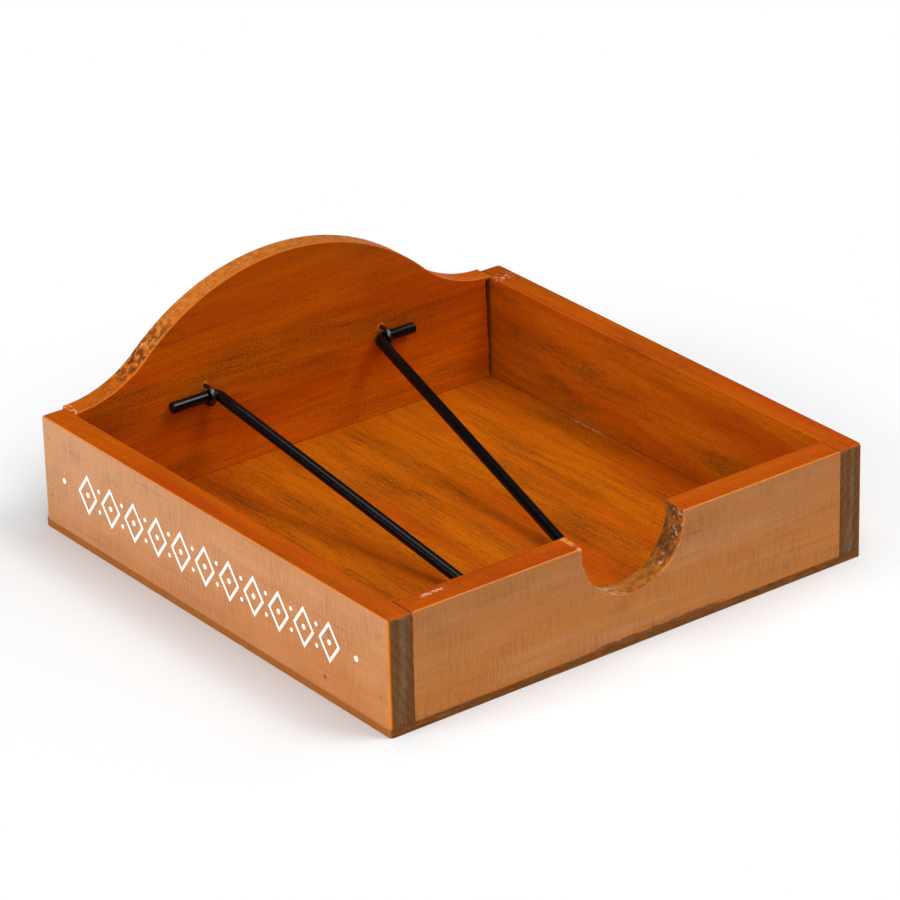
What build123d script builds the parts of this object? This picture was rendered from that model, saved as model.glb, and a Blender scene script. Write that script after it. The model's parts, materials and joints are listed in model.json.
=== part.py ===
"""Napkin holder: a shallow square tray of varnished boards with an ogee-arched back board, a thumb
notch in the front, and a bent wire arm that swings on two staples and lies on the napkins.

Millimetres, +Z up, +X to the holder's right seen from the front, front face towards -Y.
The origin is on the table under the middle of the base.
"""
from build123d import *
import os
from math import asin, atan2, cos, degrees, pi, sin, tan

# Tray: outside sizes and board thicknesses
WIDTH = 195.0               # across the outer faces of the two sides
DEPTH = 194.7               # from the front face to the back face
WALL_TOP = 41.3             # top of the sides and the front, above the table
BASE_THICKNESS = 2.9        # plywood, flush under all four walls
SIDE_THICKNESS = 9.3
FRONT_THICKNESS = 10.2
BACK_THICKNESS = 8.1

# Edges: outer upright corners, and the sanded arrises
CORNER_RADIUS = 1.3
ARRIS_RADIUS = 0.5
SEAM_RADIUS = 0.25          # where a board's end meets the next board

# Back board: a convex crown between two concave flanks that run out level at the joints
ARCH_TOP = 76.5             # top of the crown, above the table
SHOULDER_RISE = 0.5         # the flanks' ends stand this much over the sides
FLANK_RADIUS = 43.0
SLIT_TOP_WIDTH = 2.3        # the right end is cut out of square: an open slit beside the side
SLIT_FOOT_WIDTH = 1.2
SLIT_DEPTH = 2.0
SLIT_LIP = 0.9              # wood left over the slit

# Front board: thumb notch bored through near the top edge, a little askew
NOTCH_RADIUS = 20.6
NOTCH_CENTRE_DROP = 1.8     # centre of the bore below the top edge, at the front face
NOTCH_LEAN = 1.2            # at the back face the bore lies this much to the right, and lower
NOTCH_CORNER_RADIUS = 0.8

# Wire arm: two pivot stubs, two arms that lean towards each other, and a cross bar
WIRE_DIAMETER = 4.0
PIVOT_HEIGHT = 33.2         # wire axis at the back board, above the table
PIVOT_GAP = 0.4             # between the stubs and the back board
ARM_REACH = 132.0           # along the arm, pivot axis to cross bar axis
ARM_REST_GAP = 0.3          # under the cross bar, with the tray empty
LEFT_STUB_X = -51.4         # outer ends of the stubs
RIGHT_STUB_X = 51.9
LEFT_ROOT_X = -32.7         # wire axes meet here at the back
RIGHT_ROOT_X = 36.4
LEFT_TOE_X = -22.2          # and here at the cross bar
RIGHT_TOE_X = 18.9
ROOT_BEND_RADIUS = 3.0      # on the wire's axis
TOE_BEND_RADIUS = 6.0
WIRE_END_RADIUS = 0.5       # tumbled cut ends

# Staples that hold the stubs
STAPLE_WIRE_DIAMETER = 1.6
STAPLE_CLEARANCE = 0.3      # round the stub
STAPLE_TO_BEND = 0.35       # staple's middle to the start of the bend at the arm's root
STAPLE_COVER = 1.7          # wood left behind the legs' points
STAPLE_POINT = 2.0
STAPLE_POINT_RADIUS = 0.15

# Brads: two through each side into the end of the front and of the back, and through the base
BRAD_DIAMETER = 1.2
BRAD_HEAD_DIAMETER = 2.0
BRAD_HEAD_HEIGHT = 0.8
CORNER_BRAD_LENGTH = 20.0
CORNER_BRAD_SET = 0.9       # head below the outer face, filled and varnished over
CORNER_BRAD_LOW = 13.0      # lower brad, above the table
CORNER_BRAD_DROP = 7.4      # upper brad, below the top of the walls
BASE_BRAD_LENGTH = 15.0
BASE_BRAD_SET = 0.3         # head below the underside
BASE_BRAD_SPREAD_Y = 65.0   # between brads under a side
BASE_BRAD_SPREAD_X = 100.0  # between the two brads under the front or the back
BRAD_FIT = 0.02             # radial, round every nail and leg

# Worked out from these
half_width = WIDTH / 2
half_depth = DEPTH / 2
inner_half_width = half_width - SIDE_THICKNESS
front_inner_y = -half_depth + FRONT_THICKNESS
back_inner_y = half_depth - BACK_THICKNESS
shoulder_z = WALL_TOP + SHOULDER_RISE
wire_radius = WIRE_DIAMETER / 2
pivot_y = back_inner_y - PIVOT_GAP - wire_radius
bar_z = BASE_THICKNESS + ARM_REST_GAP + wire_radius
arm_slope = asin((PIVOT_HEIGHT - bar_z) / ARM_REACH)
staple_radius = wire_radius + STAPLE_CLEARANCE + STAPLE_WIRE_DIAMETER / 2
staple_leg_in_wood = BACK_THICKNESS - STAPLE_COVER
corner_brad_heights = (CORNER_BRAD_LOW, WALL_TOP - CORNER_BRAD_DROP)
front_brad_y = -half_depth + FRONT_THICKNESS / 2
back_brad_y = half_depth - BACK_THICKNESS / 2
side_brad_x = half_width - SIDE_THICKNESS / 2


def block(x_range, y_range, z_range):
    """A plain board between two corners."""
    size = [high - low for low, high in (x_range, y_range, z_range)]
    centre = [(high + low) / 2 for low, high in (x_range, y_range, z_range)]
    return Pos(*centre) * Box(*size)


def edges_at(board, axis, value, along=None):
    """The board's edges that lie wholly at one value of an axis, and run along another if given."""
    place = "XYZ".index(axis)
    found = []
    for edge in board.edges():
        box = edge.bounding_box()
        if max(abs(tuple(box.min)[place] - value), abs(tuple(box.max)[place] - value)) < 1e-4:
            found.append(edge)
    if along is not None:
        found = [e for e in found if abs(tuple(e.tangent_at(0.5))["XYZ".index(along)]) > 0.999]
    return found


def nail(length, fit=0.0):
    """A brad standing on its head at the origin, point up; fit is added all round for its hole."""
    shank = Cylinder(BRAD_DIAMETER / 2 + fit, length - BRAD_DIAMETER + fit,
                     align=(Align.CENTER, Align.CENTER, Align.MIN))
    head = Cylinder(BRAD_HEAD_DIAMETER / 2 + fit, BRAD_HEAD_HEIGHT + fit,
                    align=(Align.CENTER, Align.CENTER, Align.MIN))
    point = Pos(0, 0, length - BRAD_DIAMETER + fit) * Cone(
        BRAD_DIAMETER / 2 + fit, BRAD_DIAMETER / 8, BRAD_DIAMETER,
        align=(Align.CENTER, Align.CENTER, Align.MIN))
    return shank + head + point


def staple_x(side):
    """The middle of a staple: just outboard of the bend where its stub turns into the arm."""
    sign, root, toe = {"left": (-1, LEFT_ROOT_X, LEFT_TOE_X), "right": (1, RIGHT_ROOT_X, RIGHT_TOE_X)}[side]
    lean = atan2(abs(root - toe), ARM_REACH)
    bend_length = ROOT_BEND_RADIUS * tan((pi / 2 - lean) / 2)
    return root + sign * (bend_length + STAPLE_TO_BEND)


def corner_brad_places(side, joint):
    """Where the two brads of one corner start, and their turn from upright: head out, point in."""
    sign = {"left": -1, "right": 1}[side]
    y = {"front": front_brad_y, "back": back_brad_y}[joint]
    head_x = sign * (half_width - CORNER_BRAD_SET)
    return [Pos(head_x, y, z) * Rot(0, -sign * 90, 0) for z in corner_brad_heights]


def base_brad_places(wall):
    """Where the brads under one wall start."""
    if wall in ("left", "right"):
        x = side_brad_x * {"left": -1, "right": 1}[wall]
        spots = [(x, step * BASE_BRAD_SPREAD_Y) for step in (-1, 0, 1)]
    else:
        y = {"front": front_brad_y, "back": back_brad_y}[wall]
        spots = [(step * BASE_BRAD_SPREAD_X / 2, y) for step in (-1, 1)]
    return [Pos(x, y, BASE_BRAD_SET) for x, y in spots]


def with_nail_holes(board, corners, walls):
    """The board less the holes that its brads were driven through."""
    for side, joint in corners:
        for place in corner_brad_places(side, joint):
            board -= place * nail(CORNER_BRAD_LENGTH, BRAD_FIT)
    for wall in walls:
        for place in base_brad_places(wall):
            board -= place * nail(BASE_BRAD_LENGTH, BRAD_FIT)
    return board


def make_base_board():
    """Plywood panel with rounded corners; each brad's head sits in its own dimple below."""
    board = block((-half_width, half_width), (-half_depth, half_depth), (0, BASE_THICKNESS))
    board = fillet(board.edges().filter_by(Axis.Z), CORNER_RADIUS)
    for wall in ("left", "right", "front", "back"):
        for place in base_brad_places(wall):
            board -= place * nail(BASE_BRAD_LENGTH, BRAD_FIT)
            dimple = Cylinder(BRAD_HEAD_DIAMETER / 2 + BRAD_FIT, BASE_BRAD_SET,
                              align=(Align.CENTER, Align.CENTER, Align.MAX))
            board -= place * dimple
    return board


def make_side(side):
    """A full-depth side: its end grain shows at the front and the back of the tray."""
    sign = {"left": -1, "right": 1}[side]
    x_range = sorted((sign * inner_half_width, sign * half_width))
    board = block(x_range, (-half_depth, half_depth), (BASE_THICKNESS, WALL_TOP))
    board = fillet(edges_at(board, "X", sign * half_width, along="Z"), CORNER_RADIUS)
    board = fillet(edges_at(board, "X", sign * inner_half_width, along="Z"), SEAM_RADIUS)
    board = fillet(edges_at(board, "Z", WALL_TOP), ARRIS_RADIUS)
    return with_nail_holes(board, [(side, "front"), (side, "back")], [side])


def make_front_board():
    """Front between the sides, with the thumb notch bored askew through it."""
    board = block((-inner_half_width, inner_half_width), (-half_depth, front_inner_y),
                  (BASE_THICKNESS, WALL_TOP))
    bore = Plane(origin=(0, -half_depth, WALL_TOP - NOTCH_CENTRE_DROP),
                 z_dir=(NOTCH_LEAN, FRONT_THICKNESS, -NOTCH_LEAN))
    board -= bore * Cylinder(NOTCH_RADIUS, 4 * FRONT_THICKNESS)
    lips = [e for e in edges_at(board, "Z", WALL_TOP)
            if abs(e.center().X) < inner_half_width - 1 and abs(e.center().Y - front_brad_y) < 1]
    board = fillet(lips, NOTCH_CORNER_RADIUS)
    for y in (-half_depth, front_inner_y):
        rim = [e for e in edges_at(board, "Y", y)
               if e.center().Z > BASE_THICKNESS + ARRIS_RADIUS
               and abs(e.center().X) < inner_half_width - ARRIS_RADIUS]
        board = fillet(rim, ARRIS_RADIUS)
    ends = [e for x in (-inner_half_width, inner_half_width)
            for e in edges_at(board, "X", x, along="Z") if abs(e.center().Y + half_depth) < 1e-4]
    board = fillet(ends, SEAM_RADIUS)
    return with_nail_holes(board, [("left", "front"), ("right", "front")], ["front"])


def arch_outline():
    """The back board's face: two flank arcs, level at the shoulders, tangent to the crown arc."""
    rise = ARCH_TOP - shoulder_z
    flank_over_top = shoulder_z + FLANK_RADIUS - ARCH_TOP
    crown_radius = (inner_half_width ** 2 + flank_over_top ** 2 - FLANK_RADIUS ** 2) / (2 * rise)
    share = FLANK_RADIUS / (FLANK_RADIUS + crown_radius)
    join_x = inner_half_width * (1 - share)
    join_z = shoulder_z + FLANK_RADIUS - share * (flank_over_top + crown_radius)
    with BuildSketch(Plane.XZ.offset(-half_depth)) as outline:
        with BuildLine():
            Polyline((-inner_half_width, shoulder_z), (-inner_half_width, BASE_THICKNESS),
                     (inner_half_width, BASE_THICKNESS), (inner_half_width, shoulder_z))
            TangentArc((-inner_half_width, shoulder_z), (-join_x, join_z), tangent=(1, 0))
            ThreePointArc((-join_x, join_z), (0, ARCH_TOP), (join_x, join_z))
            TangentArc((inner_half_width, shoulder_z), (join_x, join_z), tangent=(-1, 0))
        make_face()
    return outline.sketch


def slit_cutter():
    """The wedge missing from the front arris of the back board's right end."""
    with BuildSketch(Plane.XZ.offset(-back_inner_y)) as wedge:
        with BuildLine():
            Polyline((inner_half_width, BASE_THICKNESS),
                     (inner_half_width, shoulder_z - SLIT_LIP),
                     (inner_half_width - SLIT_TOP_WIDTH, shoulder_z - SLIT_LIP),
                     (inner_half_width - SLIT_FOOT_WIDTH, BASE_THICKNESS), close=True)
        make_face()
    return extrude(wedge.sketch, -SLIT_DEPTH)


def make_back_board():
    """Arched back between the sides, with the holes of the staples' legs."""
    board = extrude(arch_outline(), BACK_THICKNESS)
    for y in (back_inner_y, half_depth):
        rim = [e for e in edges_at(board, "Y", y)
               if e.center().Z > shoulder_z and e.length > FLANK_RADIUS / 4]
        board = fillet(rim, ARRIS_RADIUS)
    board -= slit_cutter()
    leg_hole = Cylinder(STAPLE_WIRE_DIAMETER / 2 + BRAD_FIT, staple_leg_in_wood + BRAD_FIT,
                        align=(Align.CENTER, Align.CENTER, Align.MIN))
    for side in ("left", "right"):
        for dz in (-staple_radius, staple_radius):
            mouth = Pos(staple_x(side), back_inner_y, PIVOT_HEIGHT + dz)
            board -= mouth * Rot(-90, 0, 0) * leg_hole
    return with_nail_holes(board, [("left", "back"), ("right", "back")], ["back"])


def make_arm():
    """The bent wire, in one plane that slopes from the pivots down to the cross bar."""
    slope_plane = Plane(origin=(0, pivot_y, PIVOT_HEIGHT), x_dir=(1, 0, 0),
                        z_dir=(0, sin(arm_slope), -cos(arm_slope)))
    corners = [(LEFT_STUB_X, 0), (LEFT_ROOT_X, 0), (LEFT_TOE_X, ARM_REACH),
               (RIGHT_TOE_X, ARM_REACH), (RIGHT_ROOT_X, 0), (RIGHT_STUB_X, 0)]
    radii = [ROOT_BEND_RADIUS, TOE_BEND_RADIUS, TOE_BEND_RADIUS, ROOT_BEND_RADIUS]
    with BuildLine(slope_plane) as path:
        FilletPolyline(*corners, radius=radii)
    wire = path.wire()
    section = Plane(origin=wire @ 0, z_dir=wire % 0) * Circle(wire_radius)
    arm = sweep(section, path=wire)
    drift = arm.volume / (section.area * wire.length) - 1
    print(f"arm: wire {wire.length:.1f} mm, slope {degrees(arm_slope):.2f} deg, drift {drift:.1e}")
    for x in (LEFT_STUB_X, RIGHT_STUB_X):
        arm = fillet(edges_at(arm, "X", x), WIRE_END_RADIUS)
    return arm


def make_staple(side):
    """A U of thin wire over the stub: round crown in front, two pointed legs in the back board."""
    x = staple_x(side)
    leg_end_y = back_inner_y + staple_leg_in_wood - STAPLE_POINT
    with BuildLine(Plane.YZ.offset(x)) as path:
        Line((leg_end_y, PIVOT_HEIGHT + staple_radius), (pivot_y, PIVOT_HEIGHT + staple_radius))
        ThreePointArc((pivot_y, PIVOT_HEIGHT + staple_radius),
                      (pivot_y - staple_radius, PIVOT_HEIGHT),
                      (pivot_y, PIVOT_HEIGHT - staple_radius))
        Line((pivot_y, PIVOT_HEIGHT - staple_radius), (leg_end_y, PIVOT_HEIGHT - staple_radius))
    wire = path.wire()
    section = Plane(origin=wire @ 0, z_dir=wire % 0) * Circle(STAPLE_WIRE_DIAMETER / 2)
    staple = sweep(section, path=wire)
    for dz in (-staple_radius, staple_radius):
        tip = Cone(STAPLE_WIRE_DIAMETER / 2, STAPLE_POINT_RADIUS, STAPLE_POINT,
                   align=(Align.CENTER, Align.CENTER, Align.MIN))
        staple += Pos(x, leg_end_y, PIVOT_HEIGHT + dz) * Rot(-90, 0, 0) * tip
    return staple


def write(name, shape):
    """One STEP file for one node."""
    export_step(shape, f"parts/{name}.step")
    print(name, len(shape.solids()), "solids")


os.makedirs("parts", exist_ok=True)
write("base_board", make_base_board())
write("left_side", make_side("left"))
write("right_side", make_side("right"))
write("front_board", make_front_board())
write("back_board", make_back_board())
write("napkin_arm", make_arm())
for side in ("left", "right"):
    write(f"{side}_staple", make_staple(side))
    for joint in ("front", "back"):
        pair = [place * nail(CORNER_BRAD_LENGTH) for place in corner_brad_places(side, joint)]
        write(f"{joint}_{side}_brads", Compound(children=pair))
for wall in ("left", "right", "front", "back"):
    row = [place * nail(BASE_BRAD_LENGTH) for place in base_brad_places(wall)]
    write(f"base_brads_{wall}", Compound(children=row))
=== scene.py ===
"""The looks of a napkin holder: a shallow tray of stained boards with an arched back, a thumb notch in
the front, and a black wire arm on two staples. The objects are in metres, +Z up, the front towards
-Y; outlines, paths and patterns are worked out in millimetres.
"""
import bpy
import json
import numpy as np
from mathutils import Matrix, Vector


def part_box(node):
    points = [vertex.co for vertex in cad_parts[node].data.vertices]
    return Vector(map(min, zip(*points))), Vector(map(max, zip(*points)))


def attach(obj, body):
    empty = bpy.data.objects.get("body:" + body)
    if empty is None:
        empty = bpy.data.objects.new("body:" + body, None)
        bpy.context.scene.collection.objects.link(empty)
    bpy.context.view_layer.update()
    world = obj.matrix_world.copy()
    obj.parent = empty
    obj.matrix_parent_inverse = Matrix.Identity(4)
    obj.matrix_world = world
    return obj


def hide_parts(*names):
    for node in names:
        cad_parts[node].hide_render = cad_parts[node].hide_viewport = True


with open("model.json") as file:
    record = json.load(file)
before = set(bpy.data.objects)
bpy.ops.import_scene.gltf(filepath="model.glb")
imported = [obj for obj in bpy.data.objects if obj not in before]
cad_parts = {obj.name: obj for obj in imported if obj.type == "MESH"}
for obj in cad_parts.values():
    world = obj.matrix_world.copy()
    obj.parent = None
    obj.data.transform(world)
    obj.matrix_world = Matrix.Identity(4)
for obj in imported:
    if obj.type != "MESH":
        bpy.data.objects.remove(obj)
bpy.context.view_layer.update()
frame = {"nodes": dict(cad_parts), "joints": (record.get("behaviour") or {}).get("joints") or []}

# ---------------------------------------------------------------------------------------------
# Base board: a thin plywood panel, nailed up into the four walls and flush with them, its face
# grain from front to back. It was stained golden orange with the walls, its sawn edges dark brown,
# and its underside was left bare.
# ---------------------------------------------------------------------------------------------
MM = 0.001


class Tone:
    """A shader socket that works in Python arithmetic: each operator adds one Math node."""

    def __init__(self, finish, socket):
        self.finish, self.socket = finish, socket

    def math(self, operation, *others):
        """One Math node on this tone and the others."""
        return self.finish.node("Math", {"operation": operation}, dict(enumerate((self, *others))))

    def other(self, name):
        """Another output of the node that this tone comes from."""
        return Tone(self.finish, self.socket.node.outputs[name])

    def step(self, low, high):
        """0 below low, 1 above high, and smooth between; low may be the larger one."""
        return self.finish.node("MapRange", {"interpolation_type": "SMOOTHSTEP"},
                                {"Value": self, "From Min": low, "From Max": high})

    def __add__(self, other):
        return self.math("ADD", other)

    def __sub__(self, other):
        return self.math("SUBTRACT", other)

    def __rsub__(self, other):
        return self.finish.node("Math", {"operation": "SUBTRACT"}, {0: other, 1: self})

    def __mul__(self, other):
        return self.math("MULTIPLY", other)

    def __truediv__(self, other):
        return self.math("DIVIDE", other)

    def __pow__(self, other):
        return self.math("POWER", other)

    def __abs__(self):
        return self.math("ABSOLUTE")

    __radd__, __rmul__ = __add__, __mul__


class Finish:
    """A material while it is mixed. Its one method adds a shader node of any kind."""

    def __init__(self, name):
        self.material = bpy.data.materials.new(name)
        self.material.use_nodes = True
        self.tree = self.material.node_tree
        self.tree.nodes.clear()

    def node(self, kind, settings=None, sockets=None, out=0):
        """Adds a node, makes its settings, then gives its sockets their values or links."""
        made = self.tree.nodes.new("ShaderNode" + kind)
        for name, value in (settings or {}).items():
            setattr(made, name, value)
        for name, value in (sockets or {}).items():
            usable = [s for s in made.inputs if s.enabled]
            socket = usable[name] if isinstance(name, int) else next(s for s in usable if s.name == name)
            if isinstance(value, Tone):
                self.tree.links.new(value.socket, socket)
            else:
                socket.default_value = value
        return Tone(self, made.outputs[out] if made.outputs else None)


def stain(red, green, blue):
    """A colour written as it looks on screen, 0 to 255, as the linear colour that a socket takes."""
    level = np.array([red, green, blue]) / 255
    linear = np.where(level <= 0.04045, level / 12.92, ((level + 0.055) / 1.055) ** 2.4)
    return (*linear, 1.0)


def blend(factor, first, second):
    """first where factor is 0 and second where it is 1; both are colours."""
    colours = {"Factor": factor, "A": first, "B": second}
    return factor.finish.node("Mix", {"data_type": "RGBA"}, colours, out=2)


def cloud(board, stretch, detail=2.0, roughness=0.5, shift=(0.0, 0.0, 0.0)):
    """Noise of about 0 to 1 on millimetre places; stretch is its cells per millimetre along X, Y, Z."""
    place = board.finish.node("Mapping", {}, {"Vector": board, "Location": shift, "Scale": stretch})
    return board.finish.node("TexNoise", {}, {"Vector": place, "Scale": 1.0, "Detail": detail,
                                              "Roughness": roughness})


GOLD = stain(200, 98, 5)
RUST = stain(176, 62, 3)
UMBER = stain(92, 52, 9)
RUST_SHARE = 0.8
RING_WANDER = 18.0
RING_SHADE = 0.10
GRIT_SHADE = 0.20
ZONE_SHADE = 0.22
PORE_SHADE = 0.30
# Cells per millimetre of each noise, along the grain and across it.
WANDER_CELLS = (0.010, 0.035)
FIBRE_CELLS = (0.070, 2.2)
GRIT_CELLS = (1.0, 2.6)
PORE_CELLS = (0.45, 2.4)
STREAK_CELLS = (0.009, 0.070)
ZONE_CELLS = (0.016, 0.085)


def stained_wood(name, grain, pith, seed, gold=GOLD, rust=RUST, umber=UMBER, ring_gap=3.0, lines=0.20):
    """Stained softwood: faint growth rings about a pith line, fibre lines, grit, pores, cloudy stain.

    grain is the axis that the fibres follow, and pith where the log's centre line crosses the
    other two axes, in mm. A ring's radius is the distance to that line, bent by slow noise; its
    share of ring_gap gives the dark late wood. lines is how much the fibres show. Returns the
    finish, its places in mm, whole and as X, Y and Z, the colour, the fibres and the late wood.
    """
    wood = Finish(name)
    spot = wood.node("TexCoord").other("Object")
    board = wood.node("VectorMath", {"operation": "SCALE"}, {"Vector": spot, "Scale": 1 / MM})
    split = wood.node("SeparateXYZ", {}, {0: board})
    place = {axis: split.other(axis) for axis in "XYZ"}
    across = [place[axis] for axis in "XYZ" if axis != grain]

    def stretched(along, width):
        return tuple(along if axis == grain else width for axis in "XYZ")

    wander = cloud(board, stretched(*WANDER_CELLS), shift=(seed, 0, 0)) - 0.5
    radius = ((across[0] - pith[0]) ** 2 + (across[1] - pith[1]) ** 2) ** 0.5 + wander * RING_WANDER
    ring = (radius / ring_gap).math("FRACT")
    late = ring.step(0.20, 0.80) * (1 - ring.step(0.88, 1.0))
    fibre = cloud(board, stretched(*FIBRE_CELLS), 2.0, 0.6, (0, 0, seed))
    grit = cloud(board, stretched(*GRIT_CELLS), 1.0, 0.5, (seed, 0, 0))
    pore = cloud(board, stretched(*PORE_CELLS), 0.0, 0.5, (seed, seed, 0)).step(0.69, 0.77)
    streak = cloud(board, stretched(*STREAK_CELLS), 2.0, 0.5, (0, seed, seed))
    zone = cloud(board, stretched(*ZONE_CELLS), 2.0, 0.5, (seed, 0, seed)).step(0.42, 0.74)
    colour = blend(streak.step(0.36, 0.72) * RUST_SHARE, gold, rust)
    shade = late * RING_SHADE + fibre.step(0.44, 0.66) * lines + zone * ZONE_SHADE + pore * PORE_SHADE
    shade = shade + grit.step(0.34, 0.68) * (zone + 1) * GRIT_SHADE
    return wood, board, tuple(place.values()), blend(shade, colour, umber), fibre, late


STAIN_ROUGHNESS = 0.5
STAIN_SHINE = 0.06
COAT_ROUGHNESS = 0.35
GRAIN_RELIEF = 0.6
FIBRE_HEIGHT = 0.05


def varnish(wood, colour, height, coat=0.0):
    """Closes a wood finish: a stain that shines little, with satin varnish by coat; height is in mm."""
    bump = wood.node("Bump", {}, {"Strength": GRAIN_RELIEF, "Distance": MM, "Height": height})
    shader = wood.node("BsdfPrincipled", {}, {
        "Base Color": colour, "Roughness": STAIN_ROUGHNESS, "Specular IOR Level": STAIN_SHINE,
        "Coat Weight": coat, "Coat Roughness": COAT_ROUGHNESS, "Normal": bump})
    wood.node("OutputMaterial", {}, {"Surface": shader})
    return wood.material


def near(value, place, reach):
    """1 where value is at place, falling to 0 at reach to either side; all in mm."""
    return abs(value - place).step(reach, 0.0)


def dress(node, material):
    """A CAD node that keeps its shape gets its finish in every slot."""
    piece = frame["nodes"][node]
    piece.data.materials.clear()
    piece.data.materials.append(material)
    return piece


BASE_GOLD = stain(201, 101, 3)
BASE_RUST = stain(186, 72, 2)
BASE_UMBER = stain(106, 52, 6)
BASE_PITH = (-31.0, -95.0)
SAWN_PLY = stain(146, 87, 34)
SAWN_PLY_DARK = stain(98, 58, 22)
SANDED_PLY = stain(178, 106, 46)
GLUE_BROWN = stain(78, 44, 16)
BARE_PLY = stain(196, 132, 70)
BARE_PLY_LATE = stain(150, 92, 44)
CORNER_DIRT = stain(52, 26, 6)
CORNER_DIRT_REACH = 0.55
BASE_CHALK = stain(236, 190, 150)
BASE_CHALK_PLACE = 34.0
BASE_CHALK_REACH = 11.0
PLY_SKIN = 0.9
GLUE_LINE = 0.25
# The sawn rim's colour starts this far inside the edge, and is full this far inside it.
RIM_FADE, RIM_FULL = 0.5, 0.3

base_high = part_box("base_board")[1] / MM
wall_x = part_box("right_side")[0].x / MM
front_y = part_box("front_board")[1].y / MM
back_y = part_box("back_board")[0].y / MM
wood, board, (x, y, z), colour, fibre, _ = stained_wood(
    "stained_plywood", "Y", BASE_PITH, 3.0, BASE_GOLD, BASE_RUST, BASE_UMBER, ring_gap=4.5, lines=0.32)
rim_x = abs(x).step(base_high.x - RIM_FADE, base_high.x - RIM_FULL)
rim_y = abs(y).step(base_high.y - RIM_FADE, base_high.y - RIM_FULL)
rim = rim_x.math("MAXIMUM", rim_y)
glue_lines = near(z, PLY_SKIN, GLUE_LINE).math("MAXIMUM", near(z, base_high.z - PLY_SKIN, GLUE_LINE))
rim_grain = cloud(board, (0.25, 0.25, 2.2), 3.0, 0.65)
rim_colour = blend(rim_grain.step(0.3, 0.7), SAWN_PLY, SAWN_PLY_DARK)
rim_colour = blend(rim_x * (1 - rim_y) * 0.6, rim_colour, SANDED_PLY)
rim_colour = blend(glue_lines * 0.4, rim_colour, GLUE_BROWN)
on_top = z.step(base_high.z - 0.3, base_high.z - 0.1)
corner = near(abs(x), wall_x, CORNER_DIRT_REACH).math("MAXIMUM", near(y, front_y, CORNER_DIRT_REACH))
corner = corner.math("MAXIMUM", near(y, back_y, CORNER_DIRT_REACH)) * on_top
colour = blend(corner * 0.75, colour, CORNER_DIRT)
chalk = cloud(board, (1.5, 1.1, 1.0), 2.0, 0.6, (7, 1, 4)).step(0.52, 0.62) * on_top
chalk = chalk * near(y, BASE_CHALK_PLACE, BASE_CHALK_REACH).step(0.0, 0.3)
chalk = chalk * near(x, wall_x - 1.0, 1.3).step(0.0, 0.5)
colour = blend(chalk * 0.6, colour, BASE_CHALK)
bare = blend(fibre.step(0.3, 0.8) * 0.4, BARE_PLY, BARE_PLY_LATE)
colour = blend(z.step(0.25, 0.05), colour, bare)
base_height = fibre * FIBRE_HEIGHT + rim * rim_grain * 0.25
base_finish = varnish(wood, blend(rim, colour, rim_colour), base_height)
dress("base_board", base_finish)

# ---------------------------------------------------------------------------------------------
# Left and right sides: full-depth boards, nailed over the ends of the front and the back, so their
# dark end grain shows. The upright outer corners are sanded rounder than the top edges. The left
# one carries a stencilled white border of lozenges and dots along its outer face.
# ---------------------------------------------------------------------------------------------


def line_points(start, end, spacing):
    """Points on a straight line, its end left out."""
    start, end = np.array(start, float), np.array(end, float)
    count = max(1, int(round(np.linalg.norm(end - start) / spacing)))
    return start + (end - start) * (np.arange(count) / count)[:, None]


def arc_points(centre, radius, start_deg, end_deg, spacing):
    """Points on a circle's arc, its end left out: centre + radius * (cos, sin) of a steady angle."""
    turn = np.radians(end_deg - start_deg)
    count = max(4, int(round(abs(turn) * radius / spacing)))
    angle = np.radians(start_deg) + turn * np.arange(count) / count
    return np.array(centre) + radius * np.stack([np.cos(angle), np.sin(angle)], axis=-1)


def joined(parts):
    """The points of an outline's parts in one array, and the near and far radius at each of them."""
    return (np.vstack([points for points, _ in parts]),
            np.vstack([np.broadcast_to(radii, (len(points), 2)) for points, radii in parts]))


def add_mesh(name, places, quads, caps, attributes=None):
    """A closed mesh object at the origin from millimetre places; its caps are flat-shaded.

    Every face is turned over where the volume under the quads, as the sum of a . (b x c) over
    their corners, comes out below 0, so that the faces look outward.
    """
    volume = np.einsum("ij,ij->", places[quads[:, 0]], np.cross(places[quads[:, 1]], places[quads[:, 2]]))
    if volume < 0:
        quads, caps = quads[:, ::-1], [cap[::-1] for cap in caps]
    mesh = bpy.data.meshes.new(name)
    mesh.from_pydata((places * MM).tolist(), [], quads.tolist() + [cap.tolist() for cap in caps])
    smooth = np.ones(len(mesh.polygons), bool)
    smooth[len(quads):] = False
    mesh.polygons.foreach_set("use_smooth", smooth)
    for key, values in (attributes or {}).items():
        mesh.attributes.new(key, "FLOAT", "POINT").data.foreach_set("value", values.astype(np.float32))
    mesh.update()
    piece = bpy.data.objects.new(name, mesh)
    bpy.context.scene.collection.objects.link(piece)
    return piece


ARRIS_STEPS = 7
ROW_GAP = 0.4
IN_LINE = 0.9999
BRIGHT_ARRIS = 0.2
INNER_BRIGHTNESS = 0.25


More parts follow.
